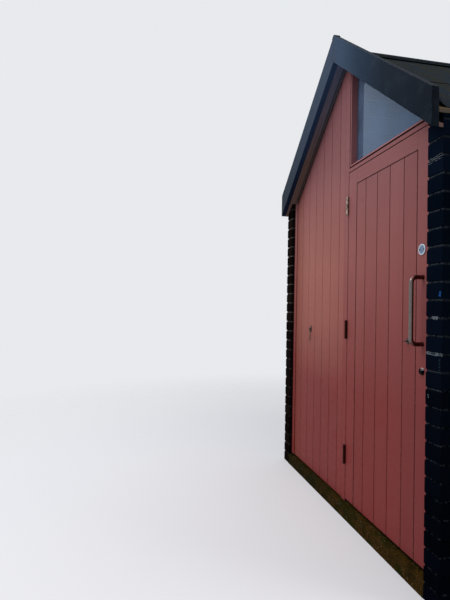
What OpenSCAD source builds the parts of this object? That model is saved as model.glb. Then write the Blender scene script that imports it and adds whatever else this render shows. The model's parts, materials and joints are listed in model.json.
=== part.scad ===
// Seaside beach hut: one bay of a terrace. Half-brick walls carry a steep felted
// timber roof; the boarded front has a fixed panel, a door and a gable window.
// Frame: X along the row, +Y into the hut, Z up. The origin is the middle of the
// plan at ground level, so the piers' front faces lie at Y = -hut_d / 2.

/* [Masonry] */
// Distance between the middles of the two party walls
bay_w = 1800; // [1500:10:2400]
// Outside depth, pier face to back wall face
hut_d = 2240; // [1800:5:3000]
// Half-brick wall thickness
wall_t = 102.5; // [90:0.5:140]
// Height of the party walls, ground to wall plate
wall_h = 1950; // [1950:25:2250]
// Height of the concrete floor over the ground
floor_h = 75; // [40:5:110]

/* [Roof] */
// Roof pitch in degrees
roof_pitch = 39; // [30:1:45]
// Thickness of the felt and its bedding
covering_t = 8; // [4:1:25]
// Thickness of the roof boards
deck_t = 15; // [12:1:25]
// Depth of a rafter, square to the slope
rafter_d = 47; // [45:1:75]
// Width of a rafter
rafter_w = 47; // [38:1:60]
// Pairs of rafters behind the front frame
rafter_pairs = 4; // [2:1:8]
// Height and width of a wall plate
plate_s = 75; // [50:1:90]
// Plumb depth of the notch that seats a rafter on its plate
seat_d = 23; // [20:1:38]
// Thickness of the ridge board
ridge_t = 25; // [20:1:35]
// Depth of the ridge board
ridge_h = 125; // [100:5:150]
// Thickness of an eaves board
eaves_t = 18; // [12:1:25]
// Width of each wing of the ridge capping
cap_wing = 120; // [80:5:180]
// Thickness of the ridge capping
cap_t = 4; // [2:1:8]
// Side of the three-cornered fillet under the felt at each verge
fillet_s = 35; // [20:1:50]

/* [Bargeboards] */
// Thickness of a bargeboard
barge_t = 35; // [22:1:45]
// Width of a bargeboard, square to the slope
barge_w = 130; // [110:1:220]
// Gap between the brick face and the back of the bargeboard
barge_gap = 20; // [5:1:40]
// Thickness of the soffit
soffit_t = 12; // [9:1:18]
// Thickness of the fillet under the soffit, front to back
bead_t = 12; // [8:1:20]
// Depth of that fillet, square to the slope
bead_h = 34; // [12:1:50]
// Width of the cap on the apex
apex_w = 44; // [30:2:80]
// Width of the flat on top of that cap
apex_flat = 10; // [6:1:16]
// Plumb thickness of the cap
apex_t = 6; // [5:1:12]

/* [Front frame] */
// Depth of the boarding behind the pier faces
recess = 35; // [20:1:60]
// Thickness of the panel boards
board_t = 15; // [12:1:22]
// Depth of the frame timbers, front face to back
frame_d = 90; // [80:1:110]
// Width of the frame timbers behind the panel
frame_w = 50; // [38:1:63]
// Face width of the post beside the door
post_w = 50; // [40:1:70]
// How far a door stop stands past the face of its timber
stop_w = 16; // [13:1:25]
// Face width of the jamb at the lock side
nib_w = 13; // [8:1:30]
// Face height of the transom over the door
transom_h = 30; // [25:1:60]
// Cover width of a panel board
panel_board_w = 125; // [90:1:150]
// Width of the cut board beside the post
cut_board_w = 69; // [30:1:120]
// Height of the boarding over the floor
board_lift = 8; // [5:1:40]
// Depth of a V joint between boards
vee_d = 4; // [2:0.5:6]
// Height of the panel's middle rail over the floor
rail_z = 1010; // [700:10:1300]
// Width of the upright trim against the pier
trim_w = 40; // [20:1:60]
// Thickness of that trim
trim_t = 8; // [5:1:15]

/* [Window] */
// Depth of the glass behind the front of the frame
glass_set = 39; // [30:1:50]
// Thickness of the glass
glass_t = 4; // [3:1:6]
// Side of a glazing bead
glazing_s = 14; // [10:1:18]
// Gap round the edge of the glass
glass_gap = 2; // [1:0.5:4]
// Thickness of the lining in front of the glass
lining_t = 8; // [6:1:12]
// Width of the shadow gap between the lining and the frame
shadow_gap = 9; // [4:1:14]
// Depth of that gap
shadow_d = 20; // [10:1:30]

/* [Door] */
// Thickness of the door
door_t = 44; // [38:1:50]
// Height of the door
door_h = 1958; // [1800:1:1960]
// Gap under the door
door_lift = 18; // [10:1:40]
// Gap between the door and what it closes on
door_gap = 5; // [5:0.5:8]
// Further gap at the lock side, which the corner needs to swing past
swing_gap = 2; // [2:0.5:5]
// Width of a stile
stile_w = 100; // [80:1:130]
// Width of the top rail
top_rail_h = 88; // [70:1:150]
// Thickness of the door boards
door_board_t = 18; // [12:1:22]
// Cover width of a door board
door_board_w = 122; // [90:1:150]
// Width of the two ledges
ledge_h = 150; // [100:5:220]
// Height of the middle ledge's centre over the floor
ledge_z = 960; // [800:10:1100]
// Width of a brace
brace_w = 95; // [70:1:120]

/* [Hinges] */
// Height of a hinge
hinge_h = 112; // [75:1:150]
// Width of a hinge leaf
leaf_w = 32; // [25:1:40]
// Thickness of a hinge leaf
leaf_t = 2; // [1.5:0.25:2.25]
// Radius of the knuckles
knuckle_r = 7.5; // [6:0.5:9]
// Gap between the knuckles and the face of the door
knuckle_out = 1; // [0.5:0.5:2]
// Radius of the hinge pin
pin_r = 4; // [3:0.5:4.5]
// Height of the lowest hinge's centre over the floor
hinge_low = 281; // [200:1:400]
// Height of the highest hinge's centre over the floor
hinge_high = 1776; // [1500:1:1820]

/* [Door furniture] */
// Radius of the pull handle's tube
pull_r = 10; // [8:0.5:10.5]
// Distance between the feet of the pull handle
pull_span = 300; // [200:5:400]
// Distance from the door face to the middle of the tube
pull_out = 58; // [45:1:58]
// Radius of the tube's bends, to its middle
pull_bend = 26; // [20:1:40]
// Height of the pull handle's middle over the floor
pull_z = 1149; // [900:1:1200]
// Distance of the handle, disc and lock from the door's free edge
lock_in = 50; // [40:1:65]
// Radius of the handle's round feet
foot_r = 12; // [11:0.5:20]
// Thickness of those feet
foot_t = 2; // [1:0.5:6]
// Radius of the round plate over the handle
disc_r = 25; // [20:1:35]
// Thickness of that plate
disc_t = 3; // [2:0.5:5]
// Distance of that plate's centre from the door's free edge
disc_in = 58; // [45:1:70]
// Height of that plate over the floor
disc_z = 1425; // [1350:1:1500]
// Radius of the lock's rose
lock_r = 17; // [14:1:22]
// Thickness of the rose
rose_t = 8; // [5:1:12]
// Radius of the key plug
plug_r = 9; // [7:0.5:10]
// Distance the plug stands out of the door
plug_out = 11; // [9:1:16]
// Height of the lock over the floor
lock_z = 879; // [780:1:950]

/* [Holdback] */
// Height of the hook's pivot and of the eye over the floor
holdback_z = 1005; // [950:1:1100]
// Distance of the eye from the hinge pin
eye_reach = 619; // [600:1:640]
// Radius of the eye's ring, to the middle of its wire
ring_r = 7.5; // [7:0.5:10]
// Radius of the eye's wire
wire_r = 2.2; // [1.5:0.1:3]
// Length of the eye's stem
stem_len = 10; // [8:1:18]
// Radius of the eye's round plate
collar_r = 12; // [10:0.5:16]
// Distance of the hook's pivot from the hinge pin
hook_reach = 563; // [500:1:570]
// Length of the hook, pivot to bend
hook_len = 72; // [60:1:110]
// Radius of the hook's rod
rod_r = 3; // [2.5:0.5:3]
// Radius of the hook's pivot pin
pivot_r = 3; // [2.5:0.5:4]
// Width of the hook's plate
plate_w = 24; // [18:1:30]
// Height of the hook's plate
plate_h = 44; // [38:1:60]
// Thickness of the hook's plate
plate_t = 2; // [1.5:0.5:4]
// Length of the boss that holds the hook off its plate
boss_h = 2.5; // [2.5:0.5:9]
// Thickness of the hook's eye
eye_t = 7; // [7:0.5:9]

/* [Hidden] */
$fn = 48;

pink = [0.66, 0.37, 0.37];
slate = [0.22, 0.25, 0.30];
brick = [0.09, 0.09, 0.12];
concrete = [0.36, 0.31, 0.24];
felt = [0.20, 0.21, 0.19];
timber = [0.62, 0.50, 0.36];
steel = [0.55, 0.56, 0.57];
dark_metal = [0.12, 0.12, 0.13];
glazing = [0.45, 0.55, 0.65, 0.4];

// Running fit between a pin and its bore
fit = 0.05;
// Clearance between hinge knuckles
knuckle_gap = 0.6;
// Clearance between sloping pieces that lie on each other
lay = 0.05;
// How far a screw head stands out of its plate
screw_out = 1;

clear_half = (bay_w - wall_t) / 2;
outer_half = (bay_w + wall_t) / 2;
front_y = -hut_d / 2;
back_y = hut_d / 2;
board_y = front_y + recess;
frame_back = board_y + frame_d;
inner_back = back_y - wall_t;
verge_front = front_y - barge_gap;
verge_back = back_y + barge_gap;

// Depths of the roof's layers, square to the slope, from the top of the felt
deck_depth = covering_t + lay;
rafter_depth = deck_depth + deck_t + lay;
soffit_depth = rafter_depth + rafter_d;
under_depth = soffit_depth + lay;
barge_depth = soffit_depth - barge_w;
plate_outer = clear_half + plate_s;
plate_top = wall_h + plate_s;
ridge_z = plate_top - seat_d + plate_outer * tan(roof_pitch) + soffit_depth / cos(roof_pitch);

door_z = floor_h + door_lift;
door_top = door_z + door_h;
door_left = post_w + door_gap;
door_right = clear_half - nib_w - door_gap - swing_gap;
head_z = door_top + door_gap;
sill_z = head_z + transom_h;
post_right = post_w + stop_w;
jamb_left = clear_half - nib_w - stop_w;
stop_y = board_y + door_t + door_gap;
door_inner_left = door_left + stile_w;
door_inner_right = door_right - stile_w;
door_mid = (door_left + door_right) / 2;

pin_x = post_w + door_gap / 2;
pin_y = board_y - knuckle_r - knuckle_out;
hinge_zs = [hinge_low, (hinge_low + hinge_high) / 2, hinge_high];

// Height of a plane that lies a given depth under the top of the felt
function roof_z(x, depth) = ridge_z - abs(x) * tan(roof_pitch) - depth / cos(roof_pitch);

// Extrudes an outline drawn in X and Z between two places along Y
module along_y(y0, y1) {
    translate([0, y1, 0]) rotate([90, 0, 0]) linear_extrude(y1 - y0) children();
}

// A box given by its lowest and highest corners
module box(lo, hi) {
    translate(lo) cube(hi - lo);
}

// A sloping board between two depths, cut plumb at both ends; side is -1 or 1
module slope_board(side, x0, x1, depth0, depth1, y0, y1) {
    along_y(y0, y1)
        polygon([[side * x0, roof_z(x0, depth0)], [side * x1, roof_z(x1, depth0)],
                 [side * x1, roof_z(x1, depth1)], [side * x0, roof_z(x0, depth1)]]);
}

// An upright timber in plan, cut off along the roof at a given depth
module under_roof(x0, x1, y0, y1, z0, depth) {
    along_y(y0, y1)
        polygon([[x0, z0], [x1, z0], [x1, roof_z(x1, depth)], [x0, roof_z(x0, depth)]]);
}

// Matchboarding in plan: flat at the back, with a V joint at each listed place; where it is
// framed, its outer edges are eased as well
module board_outline(x0, x1, t, joints, framed = false) {
    face = [for (x = joints) each [[x - vee_d, 0], [x, vee_d], [x + vee_d, 0]]];
    left = framed ? [[x0, vee_d], [x0 + vee_d, 0]] : [[x0, 0]];
    right = framed ? [[x1 - vee_d, 0], [x1, vee_d]] : [[x1, 0]];
    polygon(concat(left, face, right, [[x1, t], [x0, t]]));
}

module floor_slab() {
    color(concrete)
        box([-clear_half, front_y, 0], [clear_half, inner_back, floor_h]);
}

// A party wall: level under its wall plate, with the front pier run up to the deck
module party_wall(side) {
    inner = side * clear_half;
    outer = side * outer_half;
    color(brick) union() {
        box([min(inner, outer), front_y, 0], [max(inner, outer), back_y, wall_h]);
        under_roof(inner, outer, front_y, front_y + wall_t, wall_h - 1, rafter_depth);
    }
}

module left_party_wall() {
    party_wall(-1);
}

module right_party_wall() {
    party_wall(1);
}

module back_wall() {
    color(brick) along_y(inner_back, back_y)
        polygon([[-clear_half, 0], [clear_half, 0], [clear_half, wall_h], [outer_half, wall_h],
                 [outer_half, roof_z(outer_half, rafter_depth)], [0, roof_z(0, rafter_depth)],
                 [-outer_half, roof_z(outer_half, rafter_depth)], [-outer_half, wall_h],
                 [-clear_half, wall_h]]);
}

module wall_plates() {
    for (side = [-1, 1])
        color(timber)
            box([side > 0 ? clear_half : -plate_outer, front_y + wall_t, wall_h],
                [side > 0 ? plate_outer : -clear_half, inner_back, plate_top]);
}

module eaves_boards() {
    for (side = [-1, 1])
        color(timber)
            under_roof(side * (outer_half - eaves_t), side * outer_half,
                       front_y + wall_t, inner_back, wall_h, rafter_depth);
}

// One rafter, notched over its wall plate, drawn in X and Z
module rafter_outline(side) {
    foot = outer_half - eaves_t;
    seat = plate_outer - seat_d / tan(roof_pitch);
    polygon([for (p = [[ridge_t / 2, roof_z(ridge_t / 2, rafter_depth)],
                       [foot, roof_z(foot, rafter_depth)],
                       [foot, roof_z(foot, soffit_depth)],
                       [plate_outer, roof_z(plate_outer, soffit_depth)],
                       [plate_outer, plate_top],
                       [seat, plate_top],
                       [ridge_t / 2, roof_z(ridge_t / 2, soffit_depth)]])
             [side * p[0], p[1]]]);
}

module rafters() {
    first = frame_back + rafter_w;
    pitch = (inner_back - rafter_w - first) / (rafter_pairs - 0.5);
    for (i = [0 : rafter_pairs - 1], side = [-1, 1])
        color(timber)
            along_y(first + i * pitch, first + i * pitch + rafter_w) rafter_outline(side);
}

module ridge_board() {
    peak = roof_z(ridge_t / 2, rafter_depth);
    color(timber) along_y(frame_back, inner_back)
        polygon([[-ridge_t / 2, peak - ridge_h], [ridge_t / 2, peak - ridge_h],
                 [ridge_t / 2, peak], [0, roof_z(0, rafter_depth)], [-ridge_t / 2, peak]]);
}

module roof_deck(side) {
    color(timber)
        slope_board(side, 0, outer_half, deck_depth, deck_depth + deck_t, verge_front, verge_back);
}

module left_roof_deck() {
    roof_deck(-1);
}

module right_roof_deck() {
    roof_deck(1);
}

// The felt with the fillets that turn it up against the bargeboards
module roof_covering(side) {
    fall = outer_half / cos(roof_pitch);
    color(felt) union() {
        slope_board(side, 0, outer_half, 0, covering_t, verge_front, verge_back);
        intersection() {
            box([side > 0 ? 0 : -outer_half, verge_front, wall_h],
                [side > 0 ? outer_half : 0, verge_back, ridge_z + fillet_s * 2]);
            mirror([side > 0 ? 0 : 1, 0, 0]) translate([0, 0, ridge_z]) rotate([0, roof_pitch, 0])
                translate([-fillet_s, 0, 0]) rotate([90, 0, 90]) linear_extrude(fall + 2 * fillet_s) {
                    polygon([[verge_front, -covering_t / 2], [verge_front + fillet_s, -covering_t / 2],
                             [verge_front + fillet_s, 0], [verge_front, fillet_s]]);
                    polygon([[verge_back, -covering_t / 2], [verge_back, fillet_s],
                             [verge_back - fillet_s, 0], [verge_back - fillet_s, -covering_t / 2]]);
                }
        }
    }
}

module left_roof_covering() {
    roof_covering(-1);
}

module right_roof_covering() {
    roof_covering(1);
}

module ridge_capping() {
    w = cap_wing * cos(roof_pitch);
    top = -lay - cap_t;
    color(felt) along_y(verge_front + fillet_s, verge_back - fillet_s)
        polygon([[-w, roof_z(w, -lay)], [-w, roof_z(w, top)], [0, roof_z(0, top)],
                 [w, roof_z(w, top)], [w, roof_z(w, -lay)], [0, roof_z(0, -lay)]]);
}

// Bargeboards stand over the felt and reach down to the soffit
module bargeboard(side, y0) {
    color(slate)
        slope_board(side, 0, outer_half, barge_depth, soffit_depth, y0, y0 + barge_t);
}

module left_bargeboard() {
    bargeboard(-1, verge_front - barge_t);
}

module right_bargeboard() {
    bargeboard(1, verge_front - barge_t);
}

module back_left_bargeboard() {
    bargeboard(-1, verge_back);
}

module back_right_bargeboard() {
    bargeboard(1, verge_back);
}

// Folded cap on the mitre of the front bargeboards, flat on top
module apex_cap() {
    w = apex_w / 2;
    flat = apex_flat / 2;
    low = barge_depth - lay;
    color(dark_metal) along_y(verge_front - barge_t, verge_front)
        polygon([[-w, roof_z(w, low)], [-w, roof_z(w, low) + apex_t],
                 [-flat, roof_z(flat, low) + apex_t], [flat, roof_z(flat, low) + apex_t],
                 [w, roof_z(w, low) + apex_t], [w, roof_z(w, low)], [0, roof_z(0, low)]]);
}

// The soffit runs from the bargeboard back to the boarding, cut round the pier
module soffit(side) {
    color(pink * 0.55) difference() {
        slope_board(side, 0, outer_half, soffit_depth - soffit_t, soffit_depth, verge_front, board_y);
        box([side > 0 ? clear_half : -outer_half - 1, front_y, 0],
            [side > 0 ? outer_half + 1 : -clear_half, board_y + 1, ridge_z]);
    }
}

module left_soffit() {
    soffit(-1);
}

module right_soffit() {
    soffit(1);
}

module front_panel() {
    count = floor((clear_half - cut_board_w - 2 * vee_d) / panel_board_w);
    joints = [for (i = [count : -1 : 0]) -cut_board_w - i * panel_board_w];
    color(pink) intersection() {
        translate([0, board_y, floor_h + board_lift]) linear_extrude(ridge_z)
            board_outline(-clear_half, 0, board_t, joints);
        under_roof(-clear_half, 0, board_y - 1, board_y + board_t + 1, 0, rafter_depth);
    }
}

module panel_edge_trim() {
    color(pink)
        under_roof(-clear_half, trim_w - clear_half, board_y - trim_t, board_y,
                   floor_h + board_lift, under_depth);
}

module panel_verge_bead() {
    color(pink)
        slope_board(-1, 0, clear_half - trim_w, under_depth, under_depth + bead_h,
                    board_y - bead_t, board_y);
}

module panel_jamb() {
    color(timber)
        under_roof(-clear_half, frame_w - clear_half, board_y + board_t, frame_back,
                   floor_h, under_depth);
}

// Bottom and middle rails behind the panel boards
module panel_rails() {
    for (z = [floor_h, floor_h + rail_z])
        color(timber)
            box([frame_w - clear_half, board_y + board_t, z], [0, frame_back, z + frame_w]);
}

// The post is rebated for the door, and beside the window it is cut back for the shadow gap
module centre_post() {
    color(pink) difference() {
        under_roof(0, post_right, board_y, frame_back, floor_h, under_depth);
        box([post_w, board_y - 1, floor_h - 1], [post_right + 1, stop_y, head_z]);
        box([post_right - shadow_gap, board_y - 1, sill_z - shadow_gap],
            [post_right + 1, board_y + shadow_d, ridge_z]);
    }
}

module lock_jamb() {
    color(pink) difference() {
        under_roof(jamb_left, clear_half, board_y, frame_back, floor_h, under_depth);
        box([jamb_left - 1, board_y - 1, floor_h - 1], [clear_half - nib_w, stop_y, head_z]);
    }
}

// The transom drops a stop behind the door, and its end is cut off under the roof
module transom() {
    color(pink) intersection() {
        union() {
            box([post_right, board_y, head_z], [jamb_left, frame_back, sill_z]);
            box([post_right, stop_y, head_z - stop_w], [jamb_left, frame_back, sill_z]);
        }
        difference() {
            under_roof(post_right, jamb_left, board_y - 1, frame_back + 1, floor_h, under_depth);
            box([post_right - 1, board_y - 2, sill_z - shadow_gap],
                [jamb_left + 1, board_y + shadow_d, sill_z + 1]);
        }
    }
}

module left_gable_rail() {
    color(timber)
        slope_board(-1, 0, clear_half, rafter_depth, soffit_depth, board_y + board_t, frame_back);
}

module right_gable_rail() {
    color(pink)
        slope_board(1, 0, clear_half, rafter_depth, soffit_depth, board_y, frame_back);
}

// Height of the window's sloping head and the place where it meets the transom
function window_head(x) = roof_z(x, under_depth);
window_corner = (window_head(0) - sill_z) / tan(roof_pitch);

module window_glass() {
    tip = window_corner - glass_gap / tan(roof_pitch) - glass_gap / sin(roof_pitch);
    left = post_right + glass_gap;
    drop = glass_gap / cos(roof_pitch);
    color(glazing) along_y(board_y + glass_set, board_y + glass_set + glass_t)
        polygon([[left, sill_z + glass_gap], [tip, sill_z + glass_gap],
                 [left, window_head(left) - drop]]);
}

// Three pieces round the window: beside the post, under the slope, on the transom
module window_surround(t, y0, y1) {
    left = post_right + t;
    butt = left + lay;
    right = min(window_corner, jamb_left) - 1;
    low = sill_z + t;
    foot = window_corner - t / sin(roof_pitch);
    low_end = foot - lay / sin(roof_pitch);
    along_y(y0, y1)
        polygon([[post_right, sill_z], [left, sill_z], [left, window_head(left)],
                 [post_right, window_head(post_right)]]);
    along_y(y0, y1)
        polygon([[butt, window_head(butt) - t / cos(roof_pitch)], [butt, window_head(butt)],
                 [right, window_head(right)], [right, sill_z], [foot, sill_z]]);
    along_y(y0, y1)
        polygon([[butt, sill_z], [low_end, sill_z], [low_end - t / tan(roof_pitch), low],
                 [butt, low]]);
}

// The lining in front of the glass and the beads behind it
module window_beads() {
    glass_back = board_y + glass_set + glass_t;
    color(pink) {
        window_surround(lining_t, board_y, board_y + glass_set);
        window_surround(glazing_s, glass_back, glass_back + glazing_s);
    }
}

rail_low = door_top - top_rail_h;

// Beside the boards each stile's inner arris is taken off, up to the rail's own
module door_stiles() {
    cut = vee_d + 1;
    for (side = [-1, 1]) {
        inner = side < 0 ? door_inner_left : door_inner_right;
        low = side < 0 ? door_left : door_inner_right;
        color(pink) difference() {
            box([low, board_y, door_z], [low + stile_w, board_y + door_t, door_top]);
            translate([inner, board_y, door_z - 1]) linear_extrude(rail_low + vee_d - door_z + 1)
                polygon([[side * cut, -1], [-side, -1], [-side, cut]]);
        }
    }
}

module door_top_rail() {
    back = board_y + door_t;
    color(pink)
        translate([door_inner_left, 0, 0]) rotate([90, 0, 90])
            linear_extrude(door_inner_right - door_inner_left)
                polygon([[board_y, rail_low + vee_d], [board_y + vee_d, rail_low],
                         [back, rail_low], [back, door_top], [board_y, door_top]]);
}

module door_boards() {
    half = (door_inner_right - door_inner_left) / 2;
    count = floor((half - door_board_w / 2 - 2 * vee_d) / door_board_w);
    joints = [for (i = [-count - 1 : count]) door_mid + (i + 0.5) * door_board_w];
    color(pink) translate([0, board_y, door_z]) linear_extrude(door_h - top_rail_h)
        board_outline(door_inner_left, door_inner_right, door_board_t, joints, framed = true);
}

ledge_front = board_y + door_board_t;
ledge_back = board_y + door_t;
low_ledge_top = door_z + ledge_h;
mid_ledge_low = floor_h + ledge_z - ledge_h / 2;
mid_ledge_top = floor_h + ledge_z + ledge_h / 2;

module door_ledges() {
    for (z = [door_z, mid_ledge_low])
        color(pink)
            box([door_inner_left, ledge_front, z], [door_inner_right, ledge_back, z + ledge_h]);
}

// Braces rise from the hinge side, one in each bay between ledges and rail
module door_braces() {
    for (bay = [[low_ledge_top, mid_ledge_low], [mid_ledge_top, rail_low]])
        color(pink) along_y(ledge_front, ledge_back)
            polygon([[door_inner_left, bay[0]], [door_inner_left + brace_w, bay[0]],
                     [door_inner_right, bay[1]], [door_inner_right - brace_w, bay[1]]]);
}

// A fifth of the hinge's height is one knuckle; turns lists the knuckles that a leaf has
module hinge_leaf(turns, x0, x1) {
    step = hinge_h / 5;
    root = board_y - knuckle_out / 2;
    for (i = turns)
        translate([0, 0, i * step + knuckle_gap / 2]) union() {
            translate([pin_x, pin_y, 0]) cylinder(r = knuckle_r, h = step - knuckle_gap);
            box([x0, pin_y, 0], [x1, board_y + 1, step - knuckle_gap]);
        }
    box([x0, root, 0], [x1, board_y + leaf_w, hinge_h]);
}

module frame_hinges() {
    for (z = hinge_zs)
        color(steel) translate([0, 0, floor_h + z - hinge_h / 2]) union() {
            hinge_leaf([0, 2, 4], post_w, post_w + leaf_t);
            translate([pin_x, pin_y, 0]) cylinder(r = pin_r, h = hinge_h);
        }
}

module door_hinges() {
    for (z = hinge_zs)
        color(steel) translate([0, 0, floor_h + z - hinge_h / 2]) difference() {
            hinge_leaf([1, 3], door_left - leaf_t, door_left);
            translate([pin_x, pin_y, -1]) cylinder(r = pin_r + fit, h = hinge_h + 2);
        }
}

lock_x = door_right - lock_in;

// Bent tube with a round foot at each end
module pull_handle() {
    half = pull_span / 2;
    reach = pull_out - pull_bend;
    color(steel) translate([lock_x, board_y, floor_h + pull_z]) union() {
        translate([0, -pull_out, pull_bend - half]) cylinder(r = pull_r, h = pull_span - 2 * pull_bend);
        for (end = [-1, 1]) {
            translate([0, 0, end * half]) rotate([90, 0, 0]) cylinder(r = pull_r, h = reach);
            translate([0, 0, end * half]) rotate([90, 0, 0]) cylinder(r = foot_r, h = foot_t);
            translate([0, -reach, end * (half - pull_bend)])
                rotate([0, 90, 0]) rotate([0, 0, end > 0 ? 180 : -90])
                    rotate_extrude(angle = 90) translate([pull_bend, 0]) circle(r = pull_r);
        }
    }
}

// Round plate with two fixing screws
module round_plate() {
    screw_r = 3.5;
    screw_x = disc_r * 0.6;
    color(steel) translate([door_right - disc_in, board_y, floor_h + disc_z]) rotate([90, 0, 0])
        union() {
            cylinder(r = disc_r, h = disc_t);
            for (x = [-screw_x, screw_x])
                translate([x, 0, 0]) cylinder(r = screw_r, h = disc_t + screw_out);
        }
}

// Turned rose with the key plug standing out of it
module door_lock() {
    taper = 3;
    slot = [2, 9, 3];
    color(dark_metal) translate([lock_x, board_y, floor_h + lock_z]) rotate([90, 0, 0])
        difference() {
            union() {
                cylinder(r1 = lock_r, r2 = lock_r - taper, h = rose_t);
                cylinder(r = plug_r, h = plug_out);
            }
            translate([-slot[0] / 2, -slot[1] / 2, plug_out - slot[2]]) cube(slot + [0, 0, 1]);
        }
}

// Eye on a round plate on the door, its ring level so that the hook drops in
module holdback_eye() {
    collar_t = 2.5;
    stem_r = 3;
    color(steel) translate([pin_x + eye_reach, board_y, floor_h + holdback_z]) union() {
        rotate([90, 0, 0]) cylinder(r = collar_r, h = collar_t);
        rotate([90, 0, 0]) cylinder(r = stem_r, h = stem_len);
        translate([0, -stem_len - ring_r + wire_r / 2, 0])
            rotate_extrude() translate([ring_r, 0]) circle(r = wire_r);
    }
}

// Room for the hook's eye between the boss and the pin's head
eye_room = eye_t + 1;

// Screwed plate with a shouldered pin that the hook turns on
module holdback_plate() {
    boss_r = 6;
    head_r = 5.5;
    head_t = 2;
    screw_r = 3;
    screw_z = plate_h / 2 - 5;
    seat = plate_t + boss_h;
    color(steel) translate([pin_x - hook_reach, board_y, floor_h + holdback_z]) rotate([90, 0, 0])
        union() {
            translate([-plate_w / 2, -plate_h / 2, 0]) cube([plate_w, plate_h, plate_t]);
            cylinder(r = boss_r, h = seat);
            cylinder(r = pivot_r, h = seat + eye_room + head_t / 2);
            translate([0, 0, seat + eye_room]) cylinder(r = head_r, h = head_t);
            for (z = [-screw_z, screw_z])
                translate([0, z, 0]) cylinder(r = screw_r, h = plate_t + screw_out);
        }
}

// The hook hangs from its eye; its end turns aside in the plane that it swings in
module holdback_hook() {
    bend = 9;
    tip = 12;
    eye_r = pivot_r + 4.5;
    out = plate_t + boss_h + (eye_room - eye_t) / 2;
    color(steel)
        translate([pin_x - hook_reach, board_y - out, floor_h + holdback_z]) difference() {
            union() {
                rotate([90, 0, 0]) cylinder(r = eye_r, h = eye_t);
                translate([0, -eye_t / 2, -hook_len]) cylinder(r = rod_r, h = hook_len);
                translate([-bend, -eye_t / 2, -hook_len]) rotate([-90, 0, 0])
                    rotate_extrude(angle = 90) translate([bend, 0]) circle(r = rod_r);
                translate([-bend, -eye_t / 2, -hook_len - bend])
                    rotate([0, -90, 0]) cylinder(r = rod_r, h = tip);
            }
            translate([0, 1, 0]) rotate([90, 0, 0]) cylinder(r = pivot_r + fit, h = eye_t + 2);
        }
}

floor_slab();
left_party_wall();
right_party_wall();
back_wall();
wall_plates();
eaves_boards();
rafters();
ridge_board();
left_roof_deck();
right_roof_deck();
left_roof_covering();
right_roof_covering();
ridge_capping();
left_bargeboard();
right_bargeboard();
apex_cap();
back_left_bargeboard();
back_right_bargeboard();
left_soffit();
right_soffit();
front_panel();
panel_edge_trim();
panel_verge_bead();
panel_jamb();
panel_rails();
centre_post();
lock_jamb();
transom();
left_gable_rail();
right_gable_rail();
window_glass();
window_beads();
door_stiles();
door_top_rail();
door_boards();
door_ledges();
door_braces();
frame_hinges();
door_hinges();
pull_handle();
round_plate();
door_lock();
holdback_eye();
holdback_plate();
holdback_hook();
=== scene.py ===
# %% [markdown]
# # A seaside beach hut
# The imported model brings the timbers, the walls and the metalwork at their real size. This
# lesson gives them their looks: bricks and mortar, painted boards, felt, glass and worn steel.
# It could all be done with materials on the plain shapes. Pieces are rebuilt from them here
# instead, because a rounded arris and a real joint hold up from every side.

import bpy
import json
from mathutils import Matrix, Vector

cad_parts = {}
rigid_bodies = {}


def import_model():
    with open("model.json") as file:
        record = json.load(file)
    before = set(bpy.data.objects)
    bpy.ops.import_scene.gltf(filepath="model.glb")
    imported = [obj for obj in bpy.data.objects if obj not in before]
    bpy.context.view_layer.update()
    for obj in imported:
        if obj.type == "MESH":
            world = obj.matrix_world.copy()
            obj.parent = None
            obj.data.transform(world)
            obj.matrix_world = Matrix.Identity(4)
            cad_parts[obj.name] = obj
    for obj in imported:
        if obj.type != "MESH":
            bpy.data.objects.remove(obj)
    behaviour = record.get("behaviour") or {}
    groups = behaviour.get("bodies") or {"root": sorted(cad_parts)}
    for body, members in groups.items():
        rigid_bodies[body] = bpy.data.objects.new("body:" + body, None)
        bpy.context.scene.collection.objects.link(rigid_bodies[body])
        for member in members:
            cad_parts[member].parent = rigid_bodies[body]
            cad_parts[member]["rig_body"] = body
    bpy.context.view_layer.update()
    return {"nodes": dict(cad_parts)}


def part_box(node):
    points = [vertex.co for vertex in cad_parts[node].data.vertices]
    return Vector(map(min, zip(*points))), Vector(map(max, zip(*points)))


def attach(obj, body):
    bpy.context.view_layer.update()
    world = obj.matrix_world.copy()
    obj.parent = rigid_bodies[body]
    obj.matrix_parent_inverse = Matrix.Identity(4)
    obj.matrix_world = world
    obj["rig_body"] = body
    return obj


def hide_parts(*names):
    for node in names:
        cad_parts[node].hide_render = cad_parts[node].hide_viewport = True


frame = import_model()

# %% Modules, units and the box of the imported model
import json
import math
import random
from functools import partial

import bmesh
import bpy
from mathutils import Euler, Matrix, Quaternion, Vector, noise

scene = bpy.context.scene
MM = 0.001

# %% [markdown]
# ## Places that many pieces share
# The front of the boarding, the walls' faces and the height of the ridge come from the boxes
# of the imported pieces, so nothing has to be fitted by eye. Only the pitch and the thickness
# of felt and roof boards are given.

# %% Read the main places from the frame
WALL_LOW, WALL_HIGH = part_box("right_party_wall")
WALL_IN, WALL_OUT = WALL_LOW.x, WALL_HIGH.x
FRONT, BACK = WALL_LOW.y, WALL_HIGH.y
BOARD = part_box("front_panel")[0].y
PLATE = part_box("wall_plates")[0].z
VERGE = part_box("right_roof_covering")[0].y

PITCH = math.radians(39)
SIN, COS = math.sin(PITCH), math.cos(PITCH)
FELT_T = 8.05 * MM
DECK_T = 15.05 * MM
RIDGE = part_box("right_roof_deck")[1].z + FELT_T / COS
print("walls", round(WALL_IN, 4), round(WALL_OUT, 4), "board face", round(BOARD, 4))


def roof_height(x, depth):
    """Height of the roof over x, a given depth under the top of the felt, square to the slope."""
    return RIDGE - abs(x) * math.tan(PITCH) - depth / COS


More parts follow.
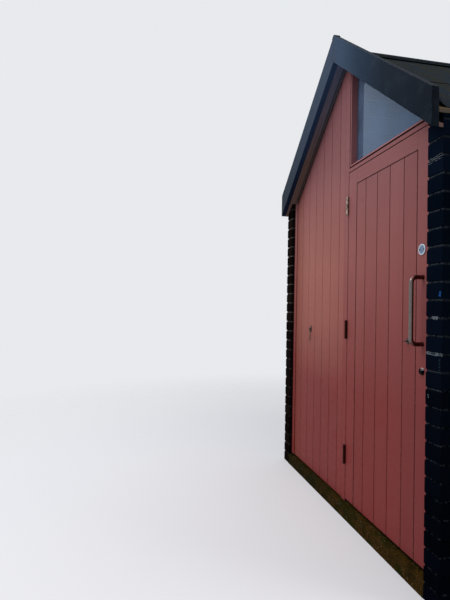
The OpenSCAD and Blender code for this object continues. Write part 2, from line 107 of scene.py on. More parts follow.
# %% [markdown]
# ## Camera
# The photograph was taken close to the hut, a little under eye height, with a wide lens. Its
# place was solved from the mortar joints and the uprights. A target and a constraint would
# aim it too, but a direction and a small roll say the same with nothing left to follow.

# %% Set the camera
camera_data = bpy.data.cameras.new("camera")
camera = bpy.data.objects.new("camera", camera_data)
scene.collection.objects.link(camera)
scene.camera = camera

YAW, RISE, ROLL = math.radians(11.48), math.radians(0.99), math.radians(1.06)
FOCAL_PIXELS, IMAGE_HEIGHT = 452, 600
look = Vector((-math.cos(YAW) * math.cos(RISE), math.sin(YAW) * math.cos(RISE), math.sin(RISE)))
camera_data.sensor_width = 36
camera_data.lens = camera_data.sensor_width * FOCAL_PIXELS / IMAGE_HEIGHT
camera.location = (2.583, -2.354, 1.221)
camera.rotation_mode = "QUATERNION"
camera.rotation_quaternion = look.to_track_quat("-Z", "Y") @ Quaternion((0, 0, 1), ROLL)
print("lens", round(camera_data.lens, 2), "mm")

# %% [markdown]
# ## Nodes and colours
# Every material below is a small tree of nodes. One function adds a node, sets it and links
# it, and gives back the socket that the next node reads. Its values fill the node's sockets
# in turn, or by name. A Mix node blends colours and a Math node multiplies, unless a call
# says otherwise. Colours are sRGB hex, as a paint chart gives them, and are turned to the
# linear values that a shader works in.

# %% Colour and node helpers
USUAL = {"Mix": {"data_type": "RGBA"}, "Math": {"operation": "MULTIPLY"}}


def linear(colour):
    """A #rrggbb colour as linear red, green, blue and alpha."""
    parts = [int(colour[i:i + 2], 16) / 255 for i in (1, 3, 5)]
    return [*(c / 12.92 if c <= 0.04045 else ((c + 0.055) / 1.055) ** 2.4 for c in parts), 1.0]


def add_node(tree, kind, *values, output=None, stops=(), **settings):
    """Adds a node with its settings and links, and returns one of its outputs."""
    made = tree.nodes.new("ShaderNode" + kind)
    for name, value in {**USUAL.get(kind, {}), **settings}.items():
        setattr(made, name, value)
    sockets = [s for s in made.inputs if s.enabled]
    if values and isinstance(values[0], dict):
        sockets = [next(s for s in sockets if s.name == name) for name in values[0]]
        values = values[0].values()
    for socket, value in zip(sockets, values):
        if isinstance(value, bpy.types.NodeSocket):
            tree.links.new(value, socket)
        else:
            socket.default_value = linear(value) if isinstance(value, str) else value
    for i, (place, colour) in enumerate(stops):
        marks = made.color_ramp.elements
        mark = marks[i] if i < 2 else marks.new(place)
        mark.position = place
        mark.color = linear(colour)
    if made.outputs:
        return next(s for s in made.outputs if s.enabled and output in (None, s.name))


def makes_material(build):
    """Lets a function that adds nodes make a whole material; the call starts with its name."""
    def make(name, *values, **settings):
        made = bpy.data.materials.new(name)
        made.use_nodes = True
        made.node_tree.nodes.clear()
        add = partial(add_node, made.node_tree)
        build(add, add("TexCoord", output="Object"), *values, **settings)
        return made
    return make


# %% [markdown]
# ## Studio
# The hut stands on a pale floor under soft light. Two wide lamps stand for the open sky in
# front and behind, and the world fills the shadows. A pale backdrop could be a wall, but a
# world that only the camera, glass and metal see is seamless and adds no light.

# %% World and lamps
BACKDROP, FILL = "#e8eaed", "#e8eaee"
FILL_STRENGTH = 0.5
scene.view_settings.view_transform = "Standard"
world = bpy.data.worlds.new("studio")
scene.world = world
world.use_nodes = True
world.node_tree.nodes.clear()


def build_world(add):
    """A backdrop for the camera and for reflections, and a dimmer fill for everything else."""
    rays = add("LightPath").node.outputs
    seen = add("Math", rays["Is Camera Ray"], rays["Is Glossy Ray"], operation="MAXIMUM")
    seen = add("Math", seen, rays["Is Transmission Ray"], operation="MAXIMUM")
    light = add("Background", FILL, FILL_STRENGTH)
    add("OutputWorld", add("MixShader", seen, light, add("Background", BACKDROP, 1.0)))


def area_lamp(name, place, aim, size, power, colour):
    """A square lamp at one point, turned to another."""
    data = bpy.data.lights.new(name, "AREA")
    data.size = size
    data.energy = power
    data.color = linear(colour)[:3]
    lamp = bpy.data.objects.new(name, data)
    scene.collection.objects.link(lamp)
    lamp.location = place
    lamp.rotation_mode = "QUATERNION"
    lamp.rotation_quaternion = (Vector(aim) - Vector(place)).to_track_quat("-Z", "Y")


build_world(partial(add_node, world.node_tree))
area_lamp("sky_in_front", (-0.6, -4.4, 6.4), (0, -0.8, 1.2), 5.0, 400, "#fbfcff")
area_lamp("sky_behind", (3.2, 4.2, 5.6), (0, 0, 1.6), 3.5, 150, "#fffaf2")

# %% Floor
FLOOR_NEAR, FLOOR_FAR = 1.9, 6.0


def new_object(name, bm, materials):
    """The object that a finished mesh and its materials make."""
    mesh = bpy.data.meshes.new(name)
    bm.to_mesh(mesh)
    bm.free()
    for material in materials:
        mesh.materials.append(material)
    made = bpy.data.objects.new(name, mesh)
    scene.collection.objects.link(made)
    return made


@makes_material
def pale_floor(add, place):
    """A plain matt floor that fades into the backdrop far out."""
    away = add("VectorMath", place, operation="LENGTH")
    fade = add("MapRange", away, FLOOR_NEAR, FLOOR_FAR, interpolation_type="SMOOTHSTEP")
    solid = add("BsdfPrincipled", {"Base Color": "#dedee0", "Roughness": 0.9})
    add("OutputMaterial", add("MixShader", fade, solid, add("BsdfTransparent")))


round_floor = bmesh.new()
bmesh.ops.create_circle(round_floor, cap_ends=True, segments=96, radius=FLOOR_FAR + 1)
new_object("studio_floor", round_floor, [pale_floor("pale_floor")])
print("floor fades from", FLOOR_NEAR, "to", FLOOR_FAR, "m")

# %% [markdown]
# ## How a material starts and ends
# All materials read Object coordinates, in metres, so a pattern keeps its real size and moves
# with its piece. Each pattern's scale is worked out from a size in millimetres. Two face
# attributes tell worn edges from the rest and give each brick or board its own tone. All but
# the glass and the floor end in one Principled shader with an optional bump.

# %% Material helpers
WEAR, TONE = "wear", "tone"


def each(size):
    """A pattern's scale: how many of that size, in millimetres, fit in a metre."""
    return 1 / (size * MM)


def patches(add, place, size, detail, start, end, low, high, rough=0.5):
    """A value that goes from low to high in soft patches of that size in millimetres."""
    return add("MapRange", add("TexNoise", place, each(size), detail, rough), start, end, low, high)


def worn_edges(add, *patch):
    """A share of rubbed paint: patches on the rounded edges only."""
    return add("Math", add("Attribute", output="Fac", attribute_name=WEAR), patches(add, *patch))


def marked(add, place, colour, marks):
    """The colour with ragged marks: each a colour, a reach in millimetres and its points."""
    ragged = add("TexNoise", place, each(6), 3)
    for tint, reach, points in marks:
        for point in points:
            away = add("VectorMath", place, point, operation="DISTANCE")
            rough = add("Math", ragged, reach * 2 * MM, away, operation="MULTIPLY_ADD")
            near = add("MapRange", rough, reach * 1.7 * MM, reach * 1.9 * MM, 0.9, 0)
            colour = add("Mix", near, colour, tint)
    return colour


def close_material(add, colour, roughness, bump=None, depth=0.0, specular=0.5, metallic=0.0):
    """Ends a tree: a Principled shader over a bump of that depth in millimetres."""
    inputs = {"Base Color": colour, "Roughness": roughness, "Metallic": metallic}
    inputs["Specular IOR Level"] = specular
    if bump is not None:
        inputs["Normal"] = add("Bump", {"Height": bump, "Distance": depth * MM})
    add("OutputMaterial", add("BsdfPrincipled", inputs))


# %% [markdown]
# ## Timber and its grain
# Wood shows long thin streaks along each board, even through paint. Noise that is stretched
# along the grain gives them. The grain's direction is a turn: level for rails, upright for
# the boards in front, from front to back for roof boards, and along the slope under the
# roof, where X is folded to its absolute value so that one material serves both sides.

# %% Grain
LEVEL, UPRIGHT, DEEP, SLOPING = (0, 0, 0), (0, math.pi / 2, 0), (0, 0, math.pi / 2), (0, PITCH, 0)


def grain(add, place, lie, length, width, detail=3.0):
    """Streaks of that length and width in millimetres, along a grain that lies at those angles."""
    if lie == SLOPING:
        x, y, z = add("SeparateXYZ", place).node.outputs
        place = add("CombineXYZ", add("Math", x, operation="ABSOLUTE"), y, z)
    size = (length * MM, width * MM, width * MM)
    along = add("Mapping", {"Vector": place, "Rotation": lie, "Scale": size}, vector_type="TEXTURE")
    return add("TexNoise", along, 1.0, detail)


# %% [markdown]
# ## Pink paint
# Satin trade paint brushed on planed softwood. It is a dull coral pink. By height it is
# painted darker under the verge, and darker and redder low down, as shade. Dirt and painted
# shade sit in the V joints, and each board took the paint a little differently.

# %% Pink paint
# The pink by height, in shares of PAINT_TOP: darker and redder low down and darker under the verge, as
# painted shade
PINK_AND_SHADE_BY_HEIGHT = (
    (0.02, "#7a302e"), (0.25, "#7a3432"), (0.5, "#8b524f"), (0.66, "#825354"), (0.8, "#744b4e"))
# Dark tints: dirt and painted shade in the V joints, and painted shade in the frame's joint
GROOVE_DIRT_AND_SHADE, FRAME_SHADE = "#401010", "#240b0c"
PAINT_TOP = 3.0
DOOR_LOW, DOOR_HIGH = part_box("door_boards")


def frame_line(add, x, z):
    """A share that is high in the joint along the door boards' top and their hinge side: the mask of a
    painted shadow line.
    """
    lines = []
    for value, line, reach in ((z, DOOR_HIGH.z, 4 * MM), (x, DOOR_LOW.x, 5.5 * MM)):
        off = add("Math", add("Math", value, line, operation="SUBTRACT"), operation="ABSOLUTE")
        lines.append(add("MapRange", off, reach, reach - 2 * MM, 0, 0.95))
    after = add("MapRange", x, DOOR_LOW.x - 3 * MM, DOOR_LOW.x - 2 * MM)
    before = add("MapRange", x, DOOR_HIGH.x + 3 * MM, DOOR_HIGH.x + 2 * MM)
    below = add("MapRange", z, DOOR_HIGH.z + 3 * MM, DOOR_HIGH.z + 2 * MM, 0, 0.7)
    top = add("Math", lines[0], add("Math", after, before))
    return add("Math", top, add("Math", lines[1], below), operation="MAXIMUM")


@makes_material
def pink_paint(add, place, lie, boards=None, groove=True, over=None, chips=()):
    """Pink paint; boards is (an edge's place, cover width) where each board has its own tone, and over is
    a share and a tint of painted light and shade.
    """
    x, y, z = add("SeparateXYZ", place).node.outputs
    # Darker and redder low down, and darker under the verge: painted shade
    colour = add("ValToRGB", add("MapRange", z, 0, PAINT_TOP), stops=PINK_AND_SHADE_BY_HEIGHT)
    if boards:
        edge, cover = boards
        count = add("Math", add("Math", x, edge, operation="SUBTRACT"), cover, operation="DIVIDE")
        board = add("Math", count, operation="FLOOR")
        tint = add("TexWhiteNoise", board, noise_dimensions="1D")
        bright = add("MapRange", tint, 0, 1, 0.94, 1.05)
        colour = add("HueSaturation", {"Color": colour, "Value": bright})
    streaks = grain(add, place, lie, 420, 9)
    colour = add("Mix", patches(add, place, 260, 3, 0.35, 0.7, 0, 0.16), colour, "#70413f")
    colour = add("Mix", add("MapRange", streaks, 0.55, 0.8, 0, 0.22), colour, "#6e3937")
    colour = add("Mix", worn_edges(add, place, 12, 4, 0.5, 0.62, 0, 0.45), colour, "#a37a74")
    # Darker in the V joints, as dirt and painted shade, and along the frame's joint, as painted shade
    if groove:
        sunk = add("MapRange", y, BOARD + 0.3 * MM, BOARD + 2.4 * MM, 0, 0.9)
        near = add("MapRange", y, BOARD + 14 * MM, BOARD + 7 * MM)
        for share, dark_tint in ((sunk, GROOVE_DIRT_AND_SHADE), (frame_line(add, x, z), FRAME_SHADE)):
            colour = add("Mix", add("Math", share, near), colour, dark_tint)
    # Painted light and shade laid over the paint, as a share and a tint
    if over:
        share, tint = over
        colour = add("Mix", share, colour, tint)
    if boards:
        # A painted pool of light, lighter and warmer, on the left of the boards
        leftwards, upwards = add("MapRange", x, 0.3, -0.2, 0, 0.4), add("MapRange", z, 0.7, 1.15)
        painted_light_patch = add("Math", add("Math", leftwards, upwards), add("MapRange", z, 2.2, 1.5))
        colour = add("Mix", painted_light_patch, colour, "#a56a5a")
        # Darker next to the left pier: painted shade
        colour = add("Mix", add("MapRange", x, -0.58, -0.82, 0, 0.55), colour, "#6f3a2c")
    # Darker towards the right pier: painted shade
    colour = add("Mix", add("MapRange", x, 0.45, 0.8, 0, 0.25), colour, "#5f3338")
    colour = marked(add, place, colour, chips)
    brush = add("Math", grain(add, place, lie, 260, 1.6, 2), 0.3)
    relief = add("Math", streaks, 0.7, brush, operation="MULTIPLY_ADD")
    close_material(add, colour, patches(add, place, 40, 4, 0.3, 0.7, 0.38, 0.52), relief, 0.55, 0.05)


# %% [markdown]
# ## Slate paint, soffit paint
# The bargeboards are painted a slate blue that the weather has dulled. Along them it is
# painted darker towards the low ends, most on the right one, and their tops and undersides
# carry painted shade. The soffits' paint is brownish low down and slate under the apex,
# with dusty patches and the grain showing through.

# %% Slate and soffit paint
# Slate along X, from left to right: darker towards the low ends, most on the right, as painted shade
SLATE_AND_SHADE_ALONG = (
    (0.0, "#242c34"), (0.45, "#343f50"), (0.56, "#303f53"),
    (0.66, "#1c2c3e"), (0.8, "#0c1825"), (1.0, "#050e18"))
APEX_HEIGHT = 2.8


@makes_material
def slate_paint(add, place):
    """Dulled slate blue with painted shade: darker to the right and on top, and deep blue underneath."""
    x, _, z = add("SeparateXYZ", place).node.outputs
    facing = add("SeparateXYZ", add("TexCoord", output="Normal"), output="Z")
    # Darker along X towards the low ends: painted shade
    colour = add("ValToRGB", add("MapRange", x, -WALL_OUT, WALL_OUT), stops=SLATE_AND_SHADE_ALONG)
    # A deep blue on the undersides and darker tops: painted shade
    under = add("Mix", add("MapRange", z, 2.15, APEX_HEIGHT), "#101c30", "#31486a")
    colour = add("Mix", add("MapRange", facing, -0.3, -0.6, 0, 0.9), colour, under)
    colour = add("Mix", add("MapRange", facing, 0.3, 0.6, 0, 0.7), colour, "#0e151d")
    streaks = grain(add, place, SLOPING, 380, 8)
    colour = add("Mix", add("MapRange", streaks, 0.5, 0.8, 0, 0.3), colour, "#141c26")
    colour = add("Mix", patches(add, place, 90, 5, 0.5, 0.75, 0, 0.25, 0.6), colour, "#2c3943")
    colour = add("Mix", worn_edges(add, place, 23, 5, 0.52, 0.66, 0, 0.4), colour, "#3b4653")
    close_material(add, colour, 0.6, streaks, 0.5, 0.03)


@makes_material
def soffit_paint(add, place, low, high):
    """Dull paint on a sheltered board, dusty and flat: one colour at the eaves, one under the apex."""
    z = add("SeparateXYZ", place, output="Z")
    colour = add("Mix", add("MapRange", z, 2.3, APEX_HEIGHT), low, high)
    streaks = grain(add, place, SLOPING, 300, 10)
    colour = add("Mix", add("MapRange", streaks, 0.4, 0.75, 0, 0.4), colour, "#2b2526")
    colour = add("Mix", patches(add, place, 30, 5, 0.55, 0.75, 0, 0.25, 0.65), colour, "#5d5250")
    close_material(add, colour, 0.7, streaks, 0.5, 0.1)


# %% [markdown]
# ## Sawn softwood
# Rafters, plates, roof boards and the backs of the front boards were never painted. The saw
# leaves fine ridges across the grain, and the wood has gone honey brown with darker streaks.

# %% Sawn softwood
SAW_PITCH = 3.2
SOFTWOOD = ((0.25, "#775b3b"), (0.5, "#907046"), (0.62, "#a18052"), (0.8, "#82653f"))


@makes_material
def sawn_softwood(add, place, lie, weather=0.0):
    """Unpainted sawn boards: honey brown streaks with fine saw marks, greyed outside by weather."""
    streaks = grain(add, place, lie, 500, 7, 4)
    colour = add("ValToRGB", streaks, stops=SOFTWOOD)
    colour = add("Mix", patches(add, place, 220, 4, 0.5, 0.75, 0, 0.5), colour, "#594631")
    tone = add("Math", add("Attribute", output="Fac", attribute_name=TONE), 0.45)
    colour = add("Mix", tone, colour, "#6a4f2f")
    colour = add("Mix", weather, colour, "#322f2c")
    saw_marks = grain(add, place, lie, SAW_PITCH, 80, 1)
    relief = add("Math", saw_marks, 0.6, add("Math", streaks, 0.4), operation="MULTIPLY_ADD")
    close_material(add, colour, 0.75, relief, 0.6, 0.25)


# %% [markdown]
# ## Black masonry paint and mortar
# The piers and walls are common brick under many coats of near-black masonry paint. The right
# wall has a blue cast and the left one a brown one, and the back goes from one to the other.
# Edges are rubbed, and rain has opened the joints, so that grey mortar shows in broken lines.

# %% Painted brick and mortar
# Between these places on X, a left colour goes over into a right one
LEFTMOST, RIGHTMOST = -0.6, 0.6


@makes_material
def painted_brick(add, place, left, right, marks):
    """Near-black masonry paint: a tone for each brick, grit, rubbed edges, darker low down and marks."""
    x, _, z = add("SeparateXYZ", place).node.outputs
    share = add("MapRange", x, LEFTMOST, RIGHTMOST)
    dark, light = (add("Mix", share, *pair) for pair in zip(left, right))
    colour = add("Mix", add("Attribute", output="Fac", attribute_name=TONE), dark, light)
    colour = add("Mix", patches(add, place, 60, 5, 0.55, 0.8, 0, 0.5, 0.6), colour, "#0b0e14")
    colour = add("Mix", worn_edges(add, place, 14, 4, 0.56, 0.68, 0, 0.45), colour, "#1e2023")
    # Darker towards the bottom, on the right
    darker_low_down = add("Math", share, add("MapRange", z, 1.5, 0.4, 0, 0.75))
    colour = add("Mix", darker_low_down, colour, "#020203")
    colour = marked(add, place, colour, marks)
    drag = add("TexNoise", place, each(5), 6, 0.65)
    colour = add("Mix", add("MapRange", drag, 0.52, 0.7, 0, 0.5), colour, light)
    colour = add("Mix", add("MapRange", drag, 0.4, 0.3, 0, 0.7), colour, "#010203")
    close_material(add, colour, patches(add, place, 25, 3, 0.3, 0.7, 0.5, 0.75), drag, 1.3, 0.0)


@makes_material
def opened_mortar(add, place, left, right):
    """Sandy mortar under broken paint: it shows most where it stands proud, and high up."""
    x, _, z = add("SeparateXYZ", place).node.outputs
    share = add("MapRange", x, LEFTMOST, RIGHTMOST)
    painted, bare, sandy = (add("Mix", share, *pair) for pair in zip(left, right))
    low = add("MapRange", z, 1.3, 0.5, 0, 0.13)
    broken = add("Math", add("TexNoise", place, each(13), 5, 0.65), low, operation="SUBTRACT")
    proud = add("Attribute", output="Fac", attribute_name=TONE)
    proud = add("Math", proud, add("MapRange", z, 0.3, 1.6, 0.75, 1))
    shown = add("Math", add("MapRange", broken, 0.4, 0.45), proud)
    sand = add("TexNoise", place, each(1.4), 3, 0.7)
    stone = add("Mix", add("MapRange", sand, 0.35, 0.65), bare, sandy)
    close_material(add, add("Mix", shown, painted, stone), 0.9, sand, 0.9, 0.0)


# %% [markdown]
# ## Concrete
# The floor is site-mixed concrete, worn at its front edge until the pebbles stand out, and
# damp enough for moss. Patches of green and brown over grey give that, and pits come as bump.

# %% Mossy concrete
CONCRETE = ((0.3, "#1b1504"), (0.45, "#2f2009"), (0.55, "#191904"), (0.62, "#261c07"), (0.75, "#3c290e"))


@makes_material
def mossy_concrete(add, place):
    """Worn concrete: sandy brown, with moss in the hollows and small pits."""
    x = add("SeparateXYZ", place, output="X")
    colour = add("ValToRGB", add("TexNoise", place, each(120), 5, 0.6), stops=CONCRETE)
    speckle = patches(add, place, 4, 2, 0.38, 0.62, 0.35, 2.0)
    colour = add("HueSaturation", {"Color": colour, "Value": speckle})
    # Darker towards the left, where the slab lies in shade: painted shade
    colour = add("Mix", add("MapRange", x, 0.15, -0.4, 0, 0.5), colour, "#0e0f03")
    pebbles = add("MapRange", add("TexVoronoi", place, each(11)), 0.1, 0.2, 0.9, 0)
    stone = add("Math", pebbles, patches(add, place, 45, 3, 0.5, 0.6, 0, 1))
    colour = add("Mix", stone, colour, "#8a8073")
    close_material(add, colour, 0.88, add("TexNoise", place, each(6), 6, 0.7), 2.0, 0.02)


# %% [markdown]
# ## Mineral felt
# Roofing felt is bitumen with slate grit pressed into it. It starts blue-grey and goes olive
# with lichen, first in streaks that the rain draws down the slope.

# %% Mineral felt
GRIT = 1.6


@makes_material
def mineral_felt(add, place, base, lichen):
    """Bitumen felt faced with slate grit, with lichen in streaks down the slope."""
    streaks = grain(add, place, SLOPING, 420, 60, 5)
    colour = add("Mix", add("MapRange", streaks, 0.42, 0.66, 0, 0.8), base, lichen)
    colour = add("Mix", patches(add, place, 26, 5, 0.62, 0.68, 0, 0.6, 0.7), colour, "#4d4c38")
    grit = add("TexVoronoi", place, each(GRIT))
    colour = add("Mix", add("MapRange", grit, 0.1, 0.6, 0.3, 0), colour, "#48525e")
    close_material(add, colour, 0.9, grit, 0.9, 0.0)


# %% [markdown]
# ## Glass and metals
# Float glass is clear with a film of salt and dust, so it is a clear shader mixed with a thin
# dull one. The metals differ most in their roughness: brushed stainless steel on the handle,
# dull zinc on the eye and hook, and old paint breaking off the hinges.

# %% Glass


@makes_material
def float_glass(add, place):
    """Clear float glass under a salty film, which is a little thicker in patches."""
    clear = add("BsdfPrincipled", {
        "Base Color": "#a9b6bd", "Roughness": 0.02, "IOR": 1.55, "Transmission Weight": 1.0,
        "Specular Tint": "#98cbff"})
    x = add("SeparateXYZ", place, output="X")
    salt = add("Mix", add("MapRange", x, 0.1, 0.6), "#7490b6", "#597fae")
    film = add("BsdfPrincipled", {"Base Color": salt, "Roughness": 0.8})
    film_share = patches(add, place, 180, 4, 0.3, 0.7, 0.16, 0.28, 0.6)
    add("OutputMaterial", add("MixShader", film_share, clear, film))


# %% Metals


@makes_material
def brushed_steel(add, place, colour, rough, grime_and_door_reflection=0.0, disc=None):
    """Satin stainless steel: brown smudges and a painted reflection of the door on the side next to it,
    and a painted highlight on a disc's rim.
    """
    y = add("SeparateXYZ", place, output="Y")
    smears = patches(add, place, 35, 3, 0.35, 0.7, rough * 0.8, rough * 1.3)
    tone = add("Mix", patches(add, place, 22, 4, 0.5, 0.8, 0, 0.35), colour, "#3f3b39")
    # Brown on the side next to the door: smudges and a painted reflection of the pink door
    near = add("MapRange", y, BOARD - 64.5 * MM, BOARD - 59 * MM, 0, grime_and_door_reflection)
    tone = add("Mix", near, tone, "#5a2c27")
    # A pale ring on the disc's rim: a painted highlight
    if disc:
        centre, radius = disc
        away = add("VectorMath", place, centre, operation="DISTANCE")
        tone = add("Mix", add("MapRange", away, radius * 0.7, radius * 0.84, 0, 0.8), tone, "#cdd5e2")
    close_material(add, tone, smears, grain(add, place, LEVEL, 30, 0.8, 2), 0.08, metallic=1.0)


@makes_material
def dull_zinc(add, place, colour):
    """Hot-dip galvanised steel gone dull: faint crystals and brown spots of rust."""
    crystals = add("SeparateColor", add("TexVoronoi", place, each(4), output="Color"))
    tone = add("Mix", add("MapRange", crystals, 0, 1, 0, 0.4), colour, "#5f6366")
    rust = patches(add, place, 7, 5, 0.56, 0.66, 0, 0.8, 0.65)
    tone = add("Mix", rust, tone, "#4a3226")
    metal = add("MapRange", rust, 0, 0.8, 1, 0.2)
    close_material(add, tone, 0.5, add("TexNoise", place, each(2), 3), 0.15, metallic=metal)


@makes_material
def flaking_hinge(add, place):
    """Steel butt hinges in old dark paint; the highest one is rubbed back to bright metal."""
    high = add("MapRange", add("SeparateXYZ", place, output="Z"), 1.45, 1.75, -0.12, 0.13)
    flakes = add("TexNoise", place, each(9), 5, 0.65)
    bare = add("MapRange", add("Math", flakes, high, operation="ADD"), 0.56, 0.6)
    colour = add("Mix", bare, "#2a0e09", "#a5988a")
    close_material(add, colour, add("MapRange", bare, 0, 1, 0.6, 0.4), flakes, 0.25, 0.05, bare)


@makes_material
def black_enamel(add, place):
    """Stoved black enamel on the lock: deep black, with a painted highlight of bright metal on its upward
    faces.
    """
    facing = add("SeparateXYZ", add("TexCoord", output="Normal"), output="Z")
    # Upward faces turn bright metal, in patches: a painted highlight
    rubbed = add("Math", add("MapRange", facing, 0.3, 0.7), patches(add, place, 6, 3, 0.3, 0.5, 0.5, 1))
    scuffs = patches(add, place, 8, 4, 0.4, 0.7, 0.2, 0.4)
    close_material(add, add("Mix", rubbed, "#070508", "#e4e1e4"), scuffs, specular=0.03, metallic=rubbed)


@makes_material
def dark_lead(add, place):
    """Sheet metal folded over the apex, gone dark: a dull grey with paler scuffs."""
    tone = add("Mix", patches(add, place, 12, 4, 0.5, 0.7, 0, 0.5), "#1f2329", "#3d434a")
    close_material(add, tone, 0.55, add("TexNoise", place, each(6), 4), 0.3, metallic=0.6)


# %% [markdown]
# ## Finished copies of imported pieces
# A sawn or planed piece never has a knife edge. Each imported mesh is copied, its loose
# triangles are merged and its flat faces joined, and every convex edge is rounded by a bevel.
# A Bevel modifier would also do it, but the operator lets the new faces be marked as worn.

# %% Mesh helpers
SMOOTH_UP_TO, ROUNDED_FROM = math.radians(38), math.radians(25)
SAME_PLACE, SAME_PLANE = 0.01 * MM, math.radians(0.5)


def with_layers(bm):
    """The mesh with the two face attributes that the materials read."""
    bm.faces.layers.float.new(WEAR)
    bm.faces.layers.float.new(TONE)
    return bm


def make_piece(name, bm, materials, body, slot, *nodes):
    """Makes the finished object, which rides on a body and stands for the nodes named."""
    made = new_object(name, bm, materials)
    made.data.shade_smooth()
    made.data.set_sharp_from_angle(angle=SMOOTH_UP_TO)
    shading = made.modifiers.new("even_shading", "WEIGHTED_NORMAL")
    shading.keep_sharp = True
    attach(made, body)
    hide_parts(*nodes)
    print(name, len(made.data.polygons), "faces")


def round_edges(bm, width, segments):
    """Bevels the convex edges and marks the new faces as worn."""
    wear = bm.faces.layers.float[WEAR]
    found = [e for e in bm.edges if e.is_manifold and e.is_convex and e.calc_face_angle() > ROUNDED_FROM]
    done = bmesh.ops.bevel(bm, geom=found, offset=width, offset_type="OFFSET", segments=segments,
                           profile=0.5, affect="EDGES", clamp_overlap=True, material=-1)
    for face in done["faces"]:
        face[wear] = 1.0


def finish_node(node, slot, material, width, other=None, segments=2):
    """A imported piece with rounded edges; other is a second material and the faces that it takes."""
    packed = frame["nodes"][node]
    bm = bmesh.new()
    bm.from_mesh(packed.data)
    bmesh.ops.remove_doubles(bm, verts=bm.verts, dist=SAME_PLACE)
    bmesh.ops.dissolve_limit(bm, angle_limit=SAME_PLANE, verts=bm.verts, edges=bm.edges)
    with_layers(bm)
    if width:
        round_edges(bm, width * MM, segments)
    materials = [material]
    if other:
        second, chosen = other
        materials.append(second)
        for face in bm.faces:
            face.material_index = int(chosen(face))
    make_piece(node + "_finish", bm, materials, packed["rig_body"], slot, node)


# %% [markdown]
# ## Brickwork
# The walls are half a brick thick, in stretcher bond: each course is 75 mm, a 65 mm brick and
# a 10 mm joint. At the back corners the side walls and the back wall are toothed together,
# left and right in turn, so under the gable only the piers' ends need half bricks. A brick
# texture would be lighter, but the photograph shows the joints notched into the piers'
# arrises, so each brick is a small rounded block, a little out of true, over a mortar core.

# %% Blocks, bricks and cuts
BRICK_L, BRICK_W, BRICK_H, JOINT = 215 * MM, 102.5 * MM, 65 * MM, 10 * MM
COURSE = BRICK_H + JOINT
ARRIS = 3.0 * MM
TRUE, TILT = 0.7 * MM, 0.003
CHIPPED = 0.3


def add_block(bm, middle, size, turn=Matrix(), shade=0.0):
    """A block with that middle, size and turn, and a tone of its own; returns its corners."""
    place = Matrix.Translation(middle) @ turn.to_4x4() @ Matrix.Diagonal((*size, 1))
    corners = bmesh.ops.create_cube(bm, size=1, matrix=place)["verts"]
    tone = bm.faces.layers.float[TONE]
    for face in {f for v in corners for f in v.link_faces}:
        face[tone] = shade
    return corners


def lay_brick(bm, low, high, rng):
    """One brick between two corners, a little out of true, with its own tone."""
    low, high = Vector(low), Vector(high)
    size = high - low - Vector((TRUE, TRUE, TRUE)) * 2
    turn = Euler([rng.gauss(0, TILT) for _ in range(3)]).to_matrix()
    shift = Vector([rng.uniform(-TRUE, TRUE) for _ in range(3)])
    shade = rng.random()
    corners = add_block(bm, (low + high) / 2 + shift, size, turn, shade)
    if rng.random() < CHIPPED:
        chip = bmesh.ops.bevel(bm, geom=[rng.choice(corners)], offset=rng.uniform(5, 11) * MM, segments=1,
                               profile=0.5, affect="VERTICES", clamp_overlap=True, material=-1)
        tone = bm.faces.layers.float[TONE]
        for face in chip["faces"]:
            face[tone] = shade


def cut_off(bm, point, normal):
    """Cuts everything off on the side of a plane that its normal points to, and closes the cuts."""
    found = bm.verts[:] + bm.edges[:] + bm.faces[:]
    cut = bmesh.ops.bisect_plane(bm, geom=found, plane_co=point, plane_no=normal, clear_outer=True)
    edges = [e for e in cut["geom_cut"] if isinstance(e, bmesh.types.BMEdge)]
    bmesh.ops.holes_fill(bm, edges=edges, sides=0)


def cut_along_roof(bm, depth, side):
    """Cuts everything off above a plane that lies so deep under one slope's felt."""
    cut_off(bm, (0, 0, roof_height(0, depth)), (side * SIN, 0, COS))


# %% Bricks of the walls
UNDER_DECK = FELT_T + DECK_T
COURSES = round(PLATE / COURSE)
THINNEST = 8 * MM


def course_marks(start, end, half_first):
    """The ends of the bricks in one course, from start to end."""
    at = start
    if half_first:
        yield at, at + BRICK_W
        at += BRICK_W + JOINT
    while at < end - JOINT:
        yield at, min(at + BRICK_L, end)
        at += BRICK_L + JOINT


def side_wall_bricks(side, x0, x1, rng):
    """The bricks of one party wall with its front pier, toothed at the back corner."""
    bm = with_layers(bmesh.new())
    for i in range(COURSES):
        through = (i % 2 == 0) == (side < 0)
        end = BACK if through else BACK - BRICK_W - JOINT
        z = i * COURSE
        for y0, y1 in course_marks(FRONT, end, not through):
            lay_brick(bm, (x0, y0, z), (x1, y1, z + BRICK_H), rng)
    z = PLATE
    while z < roof_height(WALL_IN, UNDER_DECK):
        lay_brick(bm, (x0, FRONT, z), (x1, FRONT + BRICK_W, z + BRICK_H), rng)
        z += COURSE
    cut_along_roof(bm, UNDER_DECK + 1 * MM, side)
    round_edges(bm, ARRIS, 1)
    return bm


def back_wall_bricks(rng):
    """The back wall and its gable, with every second course run through each corner."""
    bm = with_layers(bmesh.new())
    header = BRICK_W + JOINT
    z, i = 0.0, 0
    while z < roof_height(0, UNDER_DECK):
        low = z < PLATE - 1 * MM
        start = -WALL_OUT + (header if low and i % 2 == 0 else 0)
        end = WALL_OUT - (header if low and i % 2 == 1 else 0)
        for x0, x1 in course_marks(start, end, not low and i % 2 == 0):
            nearest = min(abs(x0), abs(x1)) if x0 * x1 > 0 else 0
            if z < roof_height(nearest, UNDER_DECK) - THINNEST:
                lay_brick(bm, (x0, BACK - BRICK_W, z), (x1, BACK, z + BRICK_H), rng)
        z += COURSE
        i += 1
    for side in (-1, 1):
        cut_along_roof(bm, UNDER_DECK + 1 * MM, side)
    round_edges(bm, ARRIS, 1)
    return bm


